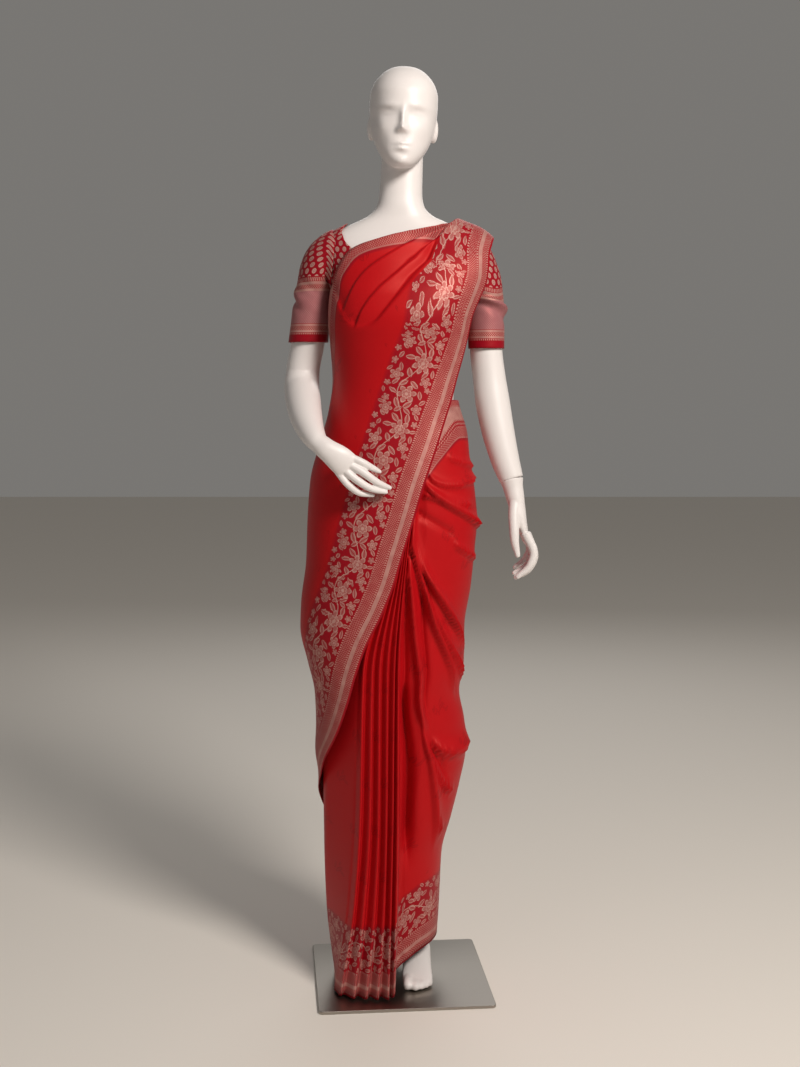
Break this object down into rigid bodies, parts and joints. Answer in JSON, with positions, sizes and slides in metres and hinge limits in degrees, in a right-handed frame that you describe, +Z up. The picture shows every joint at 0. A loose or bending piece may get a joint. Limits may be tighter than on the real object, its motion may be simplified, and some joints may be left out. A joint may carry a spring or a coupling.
{
  "type": "draped silk sari on a mannequin stand",
  "caption": "Silk sari with woven zari borders, pleated at the front and draped over one shoulder of a standing display mannequin with a matching blouse and a square base plate.",
  "frame": {"origin": "centre of the base plate's underside", "axes": "+Z up through the standing figure, -Y the way it faces, +X to the viewer's right"},
  "size_m": [0.494, 0.3682, 1.7865],
  "materials": {
    "base_plate": "brushed, bright edges",
    "mannequin": "satin white lacquer",
    "blouse": "silk brocade with zari",
    "sari": "satin silk with zari borders"
  },
  "bodies": {
    "root": {"base_plate": "base_plate", "mannequin_body": "mannequin", "arm_right": "mannequin", "arm_left": "mannequin", "hand_left": "mannequin", "blouse_bodice": "blouse", "blouse_sleeve_right": "blouse", "blouse_sleeve_left": "blouse", "sari": "sari"}
  },
  "joints": []
}
